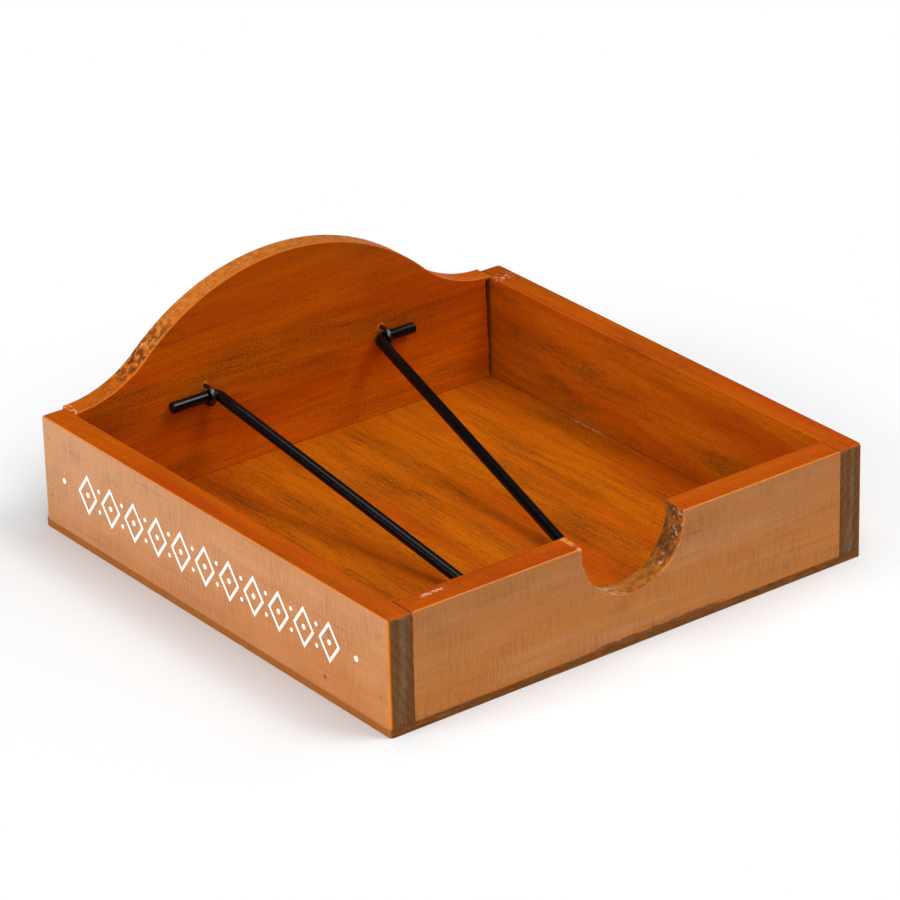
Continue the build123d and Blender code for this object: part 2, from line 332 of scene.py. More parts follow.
def cut_board(name, outline, rounds, near_level, far_level, to_space, worn=None):
    """A flat board: a closed outline, anticlockwise seen from the near face, with a rim across it.

    The rim is a function of two parameters: s runs round the outline, and t across the thickness
    through the near arris, a straight stretch and the far arris. An arris of radius r draws the
    outline in by r * (1 - sin(angle)) at the depth r * (1 - cos(angle)). Each edge of the outline
    has its own two radii, near and far; at a point the draw v meets v . n1 = r1 and v . n2 = r2
    for the normals of the edges before and after it. worn(u, v, depth) gives the worn outline
    point. One flat polygon closes each face. The attribute arris is 1 on the crest of a rounded
    near arris, which was sanded bright and also takes a painted highlight, and INNER_BRIGHTNESS
    on that of a far one.
    """
    forward = np.roll(outline, -1, axis=0) - outline
    after = np.stack([forward[:, 1], -forward[:, 0]], axis=-1) / np.linalg.norm(forward, axis=1)[:, None]
    before = np.roll(after, 1, axis=0)
    cosine = (before * after).sum(axis=1)
    straight = cosine > IN_LINE
    # Where two edges run on in line, the draw is the mean of their radii along their one normal.
    spread = np.where(straight, 4.0, 1 - cosine ** 2)
    angle = np.linspace(0, np.pi / 2, ARRIS_STEPS)
    shrink = 1 - np.sin(angle)
    thickness = abs(far_level - near_level)

    def arris(radius):
        last = np.roll(radius, 1)
        first_share = np.where(straight, radius + last, last - cosine * radius) / spread
        second_share = np.where(straight, radius + last, radius - cosine * last) / spread
        draw = first_share[:, None] * before + second_share[:, None] * after
        return draw, np.maximum(radius, last)[:, None]

    near_draw, near_r = arris(rounds[:, 0])
    far_draw, far_r = arris(rounds[:, 1])
    rows = max(2, int(round(thickness / ROW_GAP)))
    share = np.linspace(0, 1, rows + 1)[1:-1]
    depth = np.hstack([near_r * (1 - np.cos(angle)),
                       near_r + (thickness - near_r - far_r) * share,
                       thickness - far_r * (1 - np.cos(angle[::-1]))])
    drawn = (near_draw[:, None, :] * np.hstack([shrink, 0 * share, 0 * shrink])[None, :, None]
             + far_draw[:, None, :] * np.hstack([0 * shrink, 0 * share, shrink[::-1]])[None, :, None])
    crest = np.sin(2 * angle) ** 2
    bright = np.hstack([crest * (near_r > BRIGHT_ARRIS), 0 * share * near_r,
                        INNER_BRIGHTNESS * crest * (far_r > BRIGHT_ARRIS)])
    flat = outline[:, None, :] - drawn
    across, upward = flat[..., 0], flat[..., 1]
    if worn is not None:
        across, upward = worn(across, upward, depth)
    level = near_level + np.sign(far_level - near_level) * depth
    places = to_space(across, upward, level).reshape(-1, 3)
    count, wide = depth.shape
    index = np.arange(count * wide).reshape(count, wide)
    next_index = np.roll(index, -1, axis=0)
    corners = [index[:, :-1], next_index[:, :-1], next_index[:, 1:], index[:, 1:]]
    quads = np.stack(corners, axis=-1).reshape(-1, 4)
    caps = [index[::-1, 0], index[:, -1]]
    return add_mesh(name, places, quads, caps, {"arris": bright.ravel()})


TOP_ARRIS = 0.5
END_ARRIS = 1.3
SEAM_ARRIS = 0.25
HIDDEN_ARRIS = 0.05
SIDE_CORNER = 1.4
REAR_CORNER = 2.2
CORNER_STEP = 0.15
SAWN_FACE = stain(196, 122, 48)
SAWN_FACE_PALE_AND_SHEEN = stain(204, 158, 114)
SAWN_FACE_GREY_SHEEN = stain(166, 110, 64)
SAWN_FACE_DARK = stain(138, 84, 38)
SAWN_FACE_FOOT = stain(188, 98, 36)
SANDED_ARRIS_AND_HIGHLIGHT = stain(226, 130, 36)
END_GRAIN = stain(116, 72, 36)
END_GRAIN_DARK = stain(68, 44, 16)
END_GRAIN_PALE = stain(126, 104, 70)
TOP_STAIN = stain(156, 46, 0)
SIDE_CHALK = stain(240, 200, 170)
SIDE_CHALK_PLACE = 87.0
SIDE_CHALK_REACH = 4.0
SIDE_PITH = (140.0, -12.0)
# A face's own colour starts SKIN_FADE under the face and is full SKIN under it; the top's likewise.
SKIN_FADE, SKIN = 0.5, 0.1
TOP_FADE, TOP_SKIN = 0.8, 0.4
END_FADE = 0.55
# The painted sheen on the outer faces grows over these places, along Y and up Z.
PAINTED_SHEEN_ENDS = (-90.0, 90.0)
PAINTED_SHEEN_RISE = (4.0, 38.0)
FOOT_RISE = (15.0, 3.0)
SAW_HEIGHT = 0.05
SIDE_COAT = 0.75
WHITE_PAINT = stain(252, 248, 244)
PAINT_EDGE = 0.06
BORDER_MIDDLE = 2.0
BORDER_HEIGHT = 21.3
BORDER_PITCH = 13.6
BORDER_REACH = 5
BORDER_LINE = 1.05
LOZENGE_HALF_WIDTH = 5.0
LOZENGE_HALF_HEIGHT = 6.6
DOT_RADIUS = 0.99
PAIR_DOT_RADIUS = 0.79
PAIR_DOT_RISE = 3.8
END_DOT_RADIUS = 1.02
END_DOT_PLACE = 82.2
FILLER = stain(120, 66, 30)
FILLED_RADIUS = 1.1
BRAD_PLACE = 92.6
BRAD_HEIGHTS = (13.0, 33.9)
KNOT = stain(92, 48, 20)
KNOT_PLACE = (-63.0, 7.9)
KNOT_EDGE, KNOT_HEART = 1.5, 0.4


def side_outline(low, high):
    """A side seen from its outer face, Y across and Z up, its two top corners rounded; and its radii."""
    top, front_drop, rear_drop = high.z, high.z - SIDE_CORNER, high.z - REAR_CORNER
    rear_arc = arc_points((high.y - REAR_CORNER, rear_drop), REAR_CORNER, 0, 90, CORNER_STEP)
    front_arc = arc_points((low.y + SIDE_CORNER, front_drop), SIDE_CORNER, 90, 180, CORNER_STEP)
    to_top = (np.arange(len(rear_arc))[:, None] + 0.5) / len(rear_arc)
    to_foot = (np.arange(len(front_arc))[:, None] + 0.5) / len(front_arc)
    rear_rounds, front_rounds = np.array([REAR_CORNER, SEAM_ARRIS]), np.array([END_ARRIS, SEAM_ARRIS])
    return joined([
        (line_points((low.y, low.z), (high.y, low.z), 3.0), HIDDEN_ARRIS),
        (line_points((high.y, low.z), (high.y, rear_drop), 1.0), rear_rounds),
        (rear_arc, rear_rounds + (TOP_ARRIS - rear_rounds) * to_top),
        (line_points((high.y - REAR_CORNER, top), (low.y + SIDE_CORNER, top), 1.0), TOP_ARRIS),
        (front_arc, TOP_ARRIS + (front_rounds - TOP_ARRIS) * to_foot),
        (line_points((low.y, front_drop), (low.y, low.z), 1.0), front_rounds)])


def border_mask(along, rise):
    """The stencil: lozenge rings with a dot in each, pairs of dots between them, a dot at each end.

    along and rise are distances from the border's middle, never below 0. A ring is where
    |y|/a + |z|/b is 1, give or take half a line. The pattern repeats by taking the nearest whole
    number of pitches off |y|, up to the last lozenge.
    """
    slant = LOZENGE_HALF_WIDTH * LOZENGE_HALF_HEIGHT / np.hypot(LOZENGE_HALF_WIDTH, LOZENGE_HALF_HEIGHT)
    cell = (along / BORDER_PITCH).math("ROUND").math("MINIMUM", BORDER_REACH)
    here = abs(along - cell * BORDER_PITCH)
    ring = abs(here / LOZENGE_HALF_WIDTH + rise / LOZENGE_HALF_HEIGHT - 1) * slant

    def dot(aside, upward, radius):
        """1 within the radius of a dot, for the distances aside and upward from its middle."""
        return ((aside ** 2 + upward ** 2) ** 0.5).step(radius + PAINT_EDGE, radius - PAINT_EDGE)

    mask = ring.step(BORDER_LINE / 2 + PAINT_EDGE, BORDER_LINE / 2 - PAINT_EDGE)
    mask = mask.math("MAXIMUM", dot(here, rise, DOT_RADIUS))
    pair = dot(here - BORDER_PITCH / 2, rise - PAIR_DOT_RISE, PAIR_DOT_RADIUS)
    inside = along.step(BORDER_PITCH * (BORDER_REACH + 0.4), BORDER_PITCH * (BORDER_REACH + 0.3))
    mask = mask.math("MAXIMUM", pair * inside)
    return mask.math("MAXIMUM", dot(along - END_DOT_PLACE, rise, END_DOT_RADIUS))


def sawn_face(board, colour, outside, along, worn, amount):
    """The outer face of a wall: paler than the rest, with upright saw marks and streaks along the grain.

    along is the axis of the grain; worn is the colour of a painted sheen, a painted reflection
    of the bright surroundings in the varnish, that the face turns to by amount. Returns the colour
    and the saw marks.
    """

    def marks(lengthwise, inward, upward):
        return (inward, lengthwise, upward) if along == "Y" else (lengthwise, inward, upward)

    saw = cloud(board, marks(1.2, 0.03, 0.10), 2.0, 0.6)
    streak = cloud(board, marks(0.014, 0.05, 0.20), 2.0, 0.6, (9, 9, 9))
    vein = cloud(board, marks(0.022, 0.05, 0.55), 1.0, 0.5, (3, 7, 1))
    speck = cloud(board, (1.2, 1.2, 1.7), 2.0, 0.6)
    patch = cloud(board, (0.05, 0.05, 0.08), 1.0, 0.5, (4, 2, 8))
    face = blend(streak.step(0.44, 0.72) * 0.35, SAWN_FACE, SAWN_FACE_PALE_AND_SHEEN)
    # Painted sheen: the face turns towards worn by amount, a painted reflection in the varnish.
    face = blend(amount, face, worn)
    dark = saw.step(0.32, 0.74) * (patch.step(0.35, 0.65) * 0.30 + 0.14)
    face = blend(dark + speck.step(0.35, 0.75) * 0.30 + vein.step(0.56, 0.78) * 0.26, face, SAWN_FACE_DARK)
    return blend(outside * 0.85, colour, face), saw


def make_side(side):
    """One side board with its finish."""
    sign = {"left": -1, "right": 1}[side]
    node = f"{side}_side"
    low, high = [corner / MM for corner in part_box(node)]
    outer, inner = sorted((low.x, high.x), key=abs, reverse=True)
    outline, rounds = side_outline(low, high)
    piece = cut_board(f"{side}_board", outline, rounds, outer, inner,
                      lambda y, z, x: np.stack([x, y, z], axis=-1))
    wood, board, (x, y, z), colour, fibre, late = stained_wood(
        f"stained_{side}_side", "Y", (sign * SIDE_PITH[0], SIDE_PITH[1]), 11.0 + 7 * sign, ring_gap=3.1)
    arris = wood.node("Attribute", {"attribute_name": "arris"}).other("Fac")
    outside = (x * sign).step(abs(outer) - SKIN_FADE, abs(outer) - SKIN)
    end = abs(y).step(high.y - END_FADE, high.y - SKIN)
    top = z.step(high.z - TOP_FADE, high.z - TOP_SKIN) * (1 - outside)
    colour = blend(top * 0.36, colour, TOP_STAIN)
    # Painted sheen: the outer face turns paler towards the rear and the top, a painted reflection in the
    # varnish.
    painted_sheen = y.step(*PAINTED_SHEEN_ENDS) * 0.4 + z.step(*PAINTED_SHEEN_RISE) * 0.2
    colour, saw = sawn_face(board, colour, outside, "Y", SAWN_FACE_PALE_AND_SHEEN, painted_sheen)
    colour = blend(z.step(*FOOT_RISE) * outside * 0.25, colour, SAWN_FACE_FOOT)
    for brad_height in BRAD_HEIGHTS:
        filled = near(abs(y), BRAD_PLACE, FILLED_RADIUS) * near(z, brad_height, FILLED_RADIUS)
        colour = blend(filled * outside * 0.6, colour, FILLER)
    knot = ((y - KNOT_PLACE[0]) ** 2 + ((z - KNOT_PLACE[1]) * 1.4) ** 2) ** 0.5
    colour = blend(knot.step(KNOT_EDGE, KNOT_HEART) * outside * 0.75, colour, KNOT)
    # Rounded arris crests turn lighter: sanded wood, and a painted highlight.
    colour = blend(arris * 0.6, colour, SANDED_ARRIS_AND_HIGHLIGHT)
    grit = cloud(board, (1.8, 0.4, 0.5), 3.0, 0.65)
    band = cloud(board, (0.50, 0.2, 0.035), 1.0, 0.5, (sign * 3.0, 0, 2)).step(0.40, 0.60)
    end_colour = blend(band * near(x, (low.x + high.x) / 2, 4.5) * 0.8, END_GRAIN, END_GRAIN_PALE)
    end_colour = blend(late * 0.25 + grit.step(0.38, 0.72) * 0.45, end_colour, END_GRAIN_DARK)
    colour = blend(end * (1 - arris), colour, end_colour)
    if side == "right":
        chalk = cloud(board, (1.2, 0.9, 1.0), 2.0, 0.6, (7, 1, 4)).step(0.55, 0.64) * top
        colour = blend(chalk * near(y, SIDE_CHALK_PLACE, SIDE_CHALK_REACH) * 0.8, colour, SIDE_CHALK)
    if side == "left":
        paint = border_mask(abs(y - BORDER_MIDDLE), abs(z - BORDER_HEIGHT))
        colour = blend(paint * outside, colour, WHITE_PAINT)
    height = fibre * FIBRE_HEIGHT + end * grit * 0.35 + outside * saw * SAW_HEIGHT
    piece.data.materials.append(varnish(wood, colour, height, outside * SIDE_COAT))
    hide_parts(node)
    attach(piece, "holder")


make_side("left")
make_side("right")

# ---------------------------------------------------------------------------------------------
# Front board: glued and nailed between the sides. Its thumb notch was bored with a hole saw that
# leaned a little, so the cut is rough, dark with stain and flecked with torn pale fibres.
# ---------------------------------------------------------------------------------------------


def lattice(cells):
    """A repeatable value of 0 to 1 for each whole-number cell, from the fraction of a large sine."""
    wave = np.sin(cells @ np.array([127.1, 311.7, 74.7])) * 43758.5453
    return wave - np.floor(wave)


def roughen(places, cell):
    """Smooth noise of -1 to 1 at an array of places: lattice values blended over each cell by s*s*(3-2s)."""
    scaled = places / cell
    corner = np.floor(scaled)
    share = scaled - corner
    share = share * share * (3 - 2 * share)
    total = np.zeros(places.shape[:-1])
    for offset in np.ndindex(2, 2, 2):
        weight = np.where(np.array(offset) == 1, share, 1 - share).prod(axis=-1)
        total += weight * lattice(corner + np.array(offset))
    return total * 2 - 1


def ramp(value, low, high):
    """0 below low, 1 above high, and s*s*(3-2s) between, on whole arrays; low may be the larger one."""
    share = np.clip((value - low) / (high - low), 0, 1)
    return share * share * (3 - 2 * share)


NOTCH_RADIUS = 20.6
NOTCH_CENTRE_DROP = 1.8
NOTCH_LIP = 0.8
NOTCH_LEAN = 1.2
BORED_WOOD = stain(184, 108, 38)
BORED_WOOD_DARK = stain(96, 58, 28)
TORN_FIBRE = stain(214, 168, 122)
JOINT_DIRT_AND_GAP_SHADE = stain(66, 36, 14)
GAP_MIDDLE = 10.0
GAP_REACH = 34.0
LIP_WEAR = stain(236, 158, 84)
FRONT_CHALK = stain(246, 206, 170)
FRONT_CHALK_PLACE = (-75.0, -90.6)
FRONT_CHALK_REACH = (6.5, 1.1)
FRONT_PITH = (-150.0, 64.0)
FRONT_COAT = 0.3

front_low, front_high = [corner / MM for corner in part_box("front_board")]
front_half = front_high.x
front_top = front_high.z
front_thick = front_high.y - front_low.y
notch_z = front_top - NOTCH_CENTRE_DROP
lip_z = front_top - NOTCH_LIP
lip_x = float(np.sqrt((NOTCH_RADIUS + NOTCH_LIP) ** 2 - (lip_z - notch_z) ** 2))
lip_deg = float(np.degrees(np.arctan2(lip_z - notch_z, lip_x)))


def front_outline():
    """The front board seen from the front: X across, Z up, the bored notch between two small lips."""
    return joined([
        (line_points((-front_half, front_low.z), (front_half, front_low.z), 2.0), HIDDEN_ARRIS),
        (line_points((front_half, front_low.z), (front_half, front_top), 0.5), SEAM_ARRIS),
        (line_points((front_half, front_top), (lip_x, front_top), 0.6), TOP_ARRIS),
        (arc_points((lip_x, lip_z), NOTCH_LIP, 90, 180 + lip_deg, 0.12), TOP_ARRIS),
        (arc_points((0, notch_z), NOTCH_RADIUS, lip_deg, -180 - lip_deg, 0.35), TOP_ARRIS),
        (arc_points((-lip_x, lip_z), NOTCH_LIP, -lip_deg, 90, 0.12), TOP_ARRIS),
        (line_points((-lip_x, front_top), (-front_half, front_top), 0.6), TOP_ARRIS),
        (line_points((-front_half, front_top), (-front_half, front_low.z), 0.5), SEAM_ARRIS)])


def worn_front(x, z, depth):
    """The bore leans right and down by NOTCH_LEAN from front to back, and its wall is torn by the saw.

    The tears are coarse and fine noise along the bore's radius, and deeper chips break the front
    rim on both flanks. The left end is chipped at its front arris, most of all near the top. Each
    noise is its height in mm times roughen at its cell in mm.
    """
    radius = np.hypot(x, z - notch_z)
    in_bore = ramp(radius, NOTCH_RADIUS + 1.5, NOTCH_RADIUS + 0.4)
    places = np.stack([x, depth * 0.6, z], axis=-1)
    tears = np.minimum(0.15 * roughen(places, 1.7) + 0.10 * roughen(places, 0.7) - 0.05, 0.06) * in_bore
    rim = ramp(depth, 1.6, 0.0) * ramp(np.abs(x), 11.0, 17.0) * in_bore
    tears = tears + rim * np.clip(0.9 * roughen(places, 1.2) + 0.1, 0, 0.7)
    new_x = x + tears * x / NOTCH_RADIUS
    new_z = z + tears * (z - notch_z) / NOTCH_RADIUS
    lean = NOTCH_LEAN * depth / front_thick
    near_notch = ramp(np.abs(x), NOTCH_RADIUS + 7.0, NOTCH_RADIUS)
    new_x = new_x + lean * near_notch * (z > front_low.z + 5)
    new_z = new_z - lean * near_notch * ramp(z, front_top - 0.3, front_top - 4.0) * (z > front_low.z + 5)
    chip = ramp(x, -front_half + 0.8, -front_half) * ramp(depth, 2.2, 0.0)
    chip = chip * (0.25 + 0.45 * ramp(z, front_top - 6.0, front_top - 2.0))
    return new_x + chip * np.clip(roughen(places, 1.3) + 0.7, 0, 1.4), new_z


outline, rounds = front_outline()
front_piece = cut_board("front_panel", outline, rounds, front_low.y, front_high.y,
                        lambda x, z, y: np.stack([x, y, z], axis=-1), worn=worn_front)
wood, board, (x, y, z), colour, fibre, _ = stained_wood(
    "stained_front", "X", FRONT_PITH, 29.0, ring_gap=3.6)
arris = wood.node("Attribute", {"attribute_name": "arris"}).other("Fac")
outside = y.step(front_low.y + SKIN_FADE, front_low.y + SKIN)
lean = (y - front_low.y) * (NOTCH_LEAN / front_thick)
bored = ((x - lean) ** 2 + (z - notch_z + lean) ** 2) ** 0.5
bored = bored.step(NOTCH_RADIUS + 0.45, NOTCH_RADIUS + 0.2)
top = z.step(front_top - TOP_FADE, front_top - TOP_SKIN) * (1 - outside)
colour = blend(top * 0.40, colour, TOP_STAIN)
# Painted sheen: the front face turns greyer towards the top, a painted reflection in the varnish.
painted_grey_sheen = z.step(12.0, 38.0) * 0.45 + 0.05
colour, saw = sawn_face(board, colour, outside, "X", SAWN_FACE_GREY_SHEEN, painted_grey_sheen)
torn = cloud(board, (0.35, 0.5, 0.35), 3.0, 0.6)
fleck = cloud(board, (0.75, 0.45, 0.75), 3.0, 0.65, (5, 5, 5)).step(0.54, 0.68)
fleck_zone = x.step(6.0, 16.0) * y.step(front_high.y - 2.0, front_low.y + 4.0)
bored_shade = torn.step(0.36, 0.64) * 0.6 + x.step(11.0, 19.0) * 0.5
bored_colour = blend(bored_shade, BORED_WOOD, BORED_WOOD_DARK)
scraped = near(x, -8.0, 9.0) * torn.step(0.62, 0.40)
bored_colour = blend(scraped * 0.6, bored_colour, TORN_FIBRE)
bored_colour = blend(fleck * (fleck_zone * 0.7 + 0.08), bored_colour, TORN_FIBRE)
# Rounded arris crests turn lighter, less so in the bore: sanded wood, and a painted highlight.
colour = blend(arris * (1 - bored * 0.3) * 0.6, colour, SANDED_ARRIS_AND_HIGHLIGHT)
colour = blend(bored * (1 - arris * 0.7), colour, bored_colour)
left_lip = ((x + lip_x) ** 2 + (z - front_top) ** 2) ** 0.5
colour = blend(left_lip.step(1.5, 0.6) * torn.step(0.35, 0.55) * 0.5, colour, LIP_WEAR)
joint = abs(x).step(front_half - SKIN_FADE, front_half - SKIN) * outside.math("MAXIMUM", top)
# Painted shade: a ragged dark band along the foot of the front face stands in for the shade in the gap above
# the base; the board's ends keep dark joint lines.
gap_shade = near(z, front_low.z, 0.7 + torn.step(0.3, 0.7) * 0.9).step(0.0, 0.5) * outside
gap_shade = gap_shade * near(x, GAP_MIDDLE, GAP_REACH).step(0.0, 0.3)
colour = blend(joint * 0.55 + gap_shade * 0.7, colour, JOINT_DIRT_AND_GAP_SHADE)
chalk = cloud(board, (0.8, 1.6, 1.0), 2.0, 0.6, (7, 1, 4)).step(0.45, 0.58) * top
chalk = chalk * near(x, FRONT_CHALK_PLACE[0], FRONT_CHALK_REACH[0]).step(0.0, 0.4)
chalk = chalk * near(y, FRONT_CHALK_PLACE[1], FRONT_CHALK_REACH[1]).step(0.0, 0.5)
colour = blend(chalk * 0.65, colour, FRONT_CHALK)
height = fibre * FIBRE_HEIGHT + bored * torn * 0.5 + outside * saw * SAW_HEIGHT
front_piece.data.materials.append(varnish(wood, colour, height, outside * FRONT_COAT))
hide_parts("front_board")
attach(front_piece, "holder")

# ---------------------------------------------------------------------------------------------
# Back board: sawn to an ogee and sanded, set between the sides. The saw tore the grain where it ran
# out on the left flank, and the right end was cut out of square, which leaves a slit whose inside is painted
# dark as shade.
# ---------------------------------------------------------------------------------------------
FLANK_RADIUS = 43.0
SHOULDER_RISE = 0.5
SLIT_TOP_WIDTH = 2.3
SLIT_FOOT_WIDTH = 1.2
SLIT_DEPTH = 2.0
SLIT_LIP = 0.9
SLIT_REACH = 7.0
TEAR_MIDDLE = -60.0
TEAR_REACH = 11.0
BACK_GOLD = stain(216, 100, 2)
BACK_RUST = stain(192, 68, 1)
BACK_UMBER = stain(100, 54, 8)
BACK_PITH = (120.0, 96.0)
BACK_DARKENING_AND_PAINTED_SHADE = stain(88, 44, 4)
SAWN_EDGE = stain(212, 134, 60)
SAWN_EDGE_DARK = stain(150, 88, 36)
TORN_DARK = stain(84, 46, 20)
TORN_PALE = stain(232, 160, 90)
CHIPPED_END = stain(236, 160, 92)
SLIT_PAINTED_SHADE = stain(44, 24, 12)
SPLINTER = stain(220, 134, 60)
# The sawn edge's colour starts and is full this far inside the board's two faces.
EDGE_FADE, EDGE_FULL = 0.25, 0.6
REAR_FADE, REAR_FULL = 0.25, 0.5

back_low, back_high = [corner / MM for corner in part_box("back_board")]
back_half = back_high.x
arch_top = back_high.z
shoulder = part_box("left_side")[1].z / MM + SHOULDER_RISE
flank_over_top = shoulder + FLANK_RADIUS - arch_top
crown_radius = (back_half ** 2 + flank_over_top ** 2 - FLANK_RADIUS ** 2) / (2 * (arch_top - shoulder))
flank_deg = float(np.degrees(np.arctan2(flank_over_top + crown_radius, back_half)))


def back_outline():
    """The back board seen from the front: flank arc, crown arc, flank arc, all tangent."""
    flank_z = shoulder + FLANK_RADIUS
    return joined([
        (line_points((-back_half, back_low.z), (back_half, back_low.z), 2.0), HIDDEN_ARRIS),
        (line_points((back_half, back_low.z), (back_half, shoulder), 0.4), HIDDEN_ARRIS),
        (arc_points((back_half, flank_z), FLANK_RADIUS, 270, 180 + flank_deg, 0.4), TOP_ARRIS),
        (arc_points((0, arch_top - crown_radius), crown_radius, flank_deg, 180 - flank_deg, 0.4), TOP_ARRIS),
        (arc_points((-back_half, flank_z), FLANK_RADIUS, -flank_deg, -90, 0.4), TOP_ARRIS),
        (line_points((-back_half, shoulder), (-back_half, back_low.z), 1.0), HIDDEN_ARRIS)])


def slit_width(z, places):
    """How far the right end is cut back: a straight taper, jagged by noise, closed by the lip on top."""
    taper = SLIT_FOOT_WIDTH + (SLIT_TOP_WIDTH - SLIT_FOOT_WIDTH) * (z - back_low.z) / (shoulder - back_low.z)
    jag = 0.35 * roughen(places, 2.6) + 0.25 * roughen(places, 1.0)
    return np.clip(taper + jag, 0.3, None) * ramp(z, shoulder - SLIT_LIP + 0.2, shoulder - SLIT_LIP - 0.2)


def worn_back(x, z, depth):
    """Gouges on the left flank, a trace of them along the whole top edge, and the slit at the right end.

    A gouge is deep noise times a bell about TEAR_MIDDLE. The slit draws the last SLIT_REACH of the
    front face in, steadily more towards the end, down to SLIT_DEPTH.
    """
    places = np.stack([x, depth, z], axis=-1)
    on_edge = ramp(z, shoulder - 1.0, shoulder - 0.2)
    torn_here = np.exp(-((x - TEAR_MIDDLE) / TEAR_REACH) ** 2)
    slanted = places @ np.array([[1.0, 0.5, 0.0], [0.0, 0.8, 0.0], [0.3, 0.0, 0.8]])
    gouge = np.minimum(roughen(slanted, 2.8) + 0.15, 0) * 0.9 + np.minimum(roughen(slanted, 1.1), 0.2) * 0.35
    trace = np.minimum(0.07 * roughen(places, 1.5), 0)
    push = on_edge * (torn_here * np.minimum(gouge, 0.0) + trace)
    new_z = z + push * 0.8
    new_x = x - push * 0.6 * np.sign(x) * torn_here
    end = np.clip((x - back_half + SLIT_REACH) / SLIT_REACH, 0, 1) ** 2
    cut = slit_width(z, places) * end * ramp(depth, SLIT_DEPTH + 0.1, SLIT_DEPTH - 0.1)
    return new_x - cut, new_z


outline, rounds = back_outline()
back_piece = cut_board("back_panel", outline, rounds, back_low.y, back_high.y,
                       lambda x, z, y: np.stack([x, y, z], axis=-1), worn=worn_back)
wood, board, (x, y, z), colour, fibre, _ = stained_wood(
    "stained_back", "X", BACK_PITH, 47.0, BACK_GOLD, BACK_RUST, BACK_UMBER, ring_gap=4.2)
arris = wood.node("Attribute", {"attribute_name": "arris"}).other("Fac")
torn = cloud(board, (0.45, 0.5, 0.45), 4.0, 0.7)
torn_here = near(x, TEAR_MIDDLE, TEAR_REACH * 1.9) * z.step(shoulder, shoulder + 2)
torn_here = torn_here * y.step(back_low.y + 0.3, back_low.y + 0.8)
torn_here = torn_here * y.step(back_high.y - 0.1, back_high.y - 0.5)
# The board darkens towards its top, and its lower left corner gets painted shade for the shadow of the left
# side.
shade = z.step(40.0, 80.0) * 0.30 + near(x, -85.0, 22.0) * z.step(44.0, 20.0) * 0.35
colour = blend(shade, colour, BACK_DARKENING_AND_PAINTED_SHADE)
on_edge = y.step(back_low.y + EDGE_FADE, back_low.y + EDGE_FULL) * z.step(shoulder - 0.3, shoulder)
on_edge = on_edge * y.step(back_high.y - REAR_FADE, back_high.y - REAR_FULL)
edge_colour = blend(torn.step(0.40, 0.60) * 0.75, SAWN_EDGE, SAWN_EDGE_DARK)
edge_amount = near(x, -10.0, 75.0).step(0.0, 0.4) * 0.45 + 0.12
colour = blend(on_edge * edge_amount, colour, edge_colour)
rear_face = y.step(back_high.y - SKIN_FADE, back_high.y - SKIN)
# The rear face turns paler towards the top: the same painted sheen as on the sides.
colour, _ = sawn_face(board, colour, rear_face, "X", SAWN_FACE_PALE_AND_SHEEN, z.step(5.0, 60.0) * 0.3)
# Rounded arris crests turn lighter: sanded wood, and a painted highlight.
colour = blend(arris * 0.5, colour, SANDED_ARRIS_AND_HIGHLIGHT)
colour = blend(torn_here * torn.step(0.43, 0.58) * 0.9, colour, TORN_DARK)
colour = blend(torn_here * torn.step(0.42, 0.30) * 0.7, colour, TORN_PALE)
chipped = near(x, -back_half, 2.6).step(0.0, 0.3) * near(z, shoulder, 0.9).step(0.0, 0.3)
chipped = chipped * cloud(board, (0.7, 0.7, 1.2), 2.0, 0.6, (6, 1, 1)).step(0.48, 0.58) * (1 - rear_face)
colour = blend(chipped * 0.7, colour, CHIPPED_END)
# Painted shade: the inside of the slit is painted near black for the shade in it.
slit_shade = x.step(back_half - SLIT_TOP_WIDTH - 0.2, back_half - SLIT_TOP_WIDTH + 0.4)
slit_shade = slit_shade * z.step(shoulder - SLIT_LIP + 0.3, shoulder - SLIT_LIP)
slit_shade = slit_shade * y.step(back_low.y + 0.2, back_low.y + 0.6)
slit_shade = slit_shade * y.step(back_low.y + SLIT_DEPTH + 0.8, back_low.y + SLIT_DEPTH + 0.3)
colour = blend(slit_shade * 0.9, colour, SLIT_PAINTED_SHADE)
for side in ("left", "right"):
    low, high = [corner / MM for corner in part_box(f"{side}_staple")]
    entry = ((x - (low.x + high.x) / 2) ** 2 + ((z - high.z + 0.8) * 0.8) ** 2) ** 0.5
    splinter = entry.step(1.9, 0.9) * torn.step(0.46, 0.54) * y.step(back_low.y + 0.6, back_low.y + 0.2)
    colour = blend(splinter * 0.85, colour, SPLINTER)
back_height = fibre * FIBRE_HEIGHT + torn_here * torn * 0.4
back_piece.data.materials.append(varnish(wood, colour, back_height))
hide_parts("back_board")
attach(back_piece, "holder")

# ---------------------------------------------------------------------------------------------
# Brads: bright steel pins through the sides into the front and back, and up through the base.
# Only the heads under the base show, each in its own dimple.
# ---------------------------------------------------------------------------------------------
BRIGHT_STEEL = (0.50, 0.49, 0.47, 1.0)
DULL_STEEL = (0.30, 0.27, 0.23, 1.0)
STEEL_GRAIN = 2600.0

steel = Finish("brad_steel")
steel_place = steel.node("TexCoord").other("Object")
steel_grain = steel.node("TexNoise", {}, {"Vector": steel_place, "Scale": STEEL_GRAIN, "Detail": 3.0})
steel_colour = blend(steel_grain.step(0.35, 0.7), BRIGHT_STEEL, DULL_STEEL)
steel_shader = steel.node("BsdfPrincipled", {}, {
    "Base Color": steel_colour, "Metallic": 1.0, "Roughness": steel_grain * 0.25 + 0.25})
steel.node("OutputMaterial", {}, {"Surface": steel_shader})
for corner in ("front_left", "front_right", "back_left", "back_right"):
    dress(f"{corner}_brads", steel.material)
for wall in ("left", "right", "front", "back"):
    dress(f"base_brads_{wall}", steel.material)

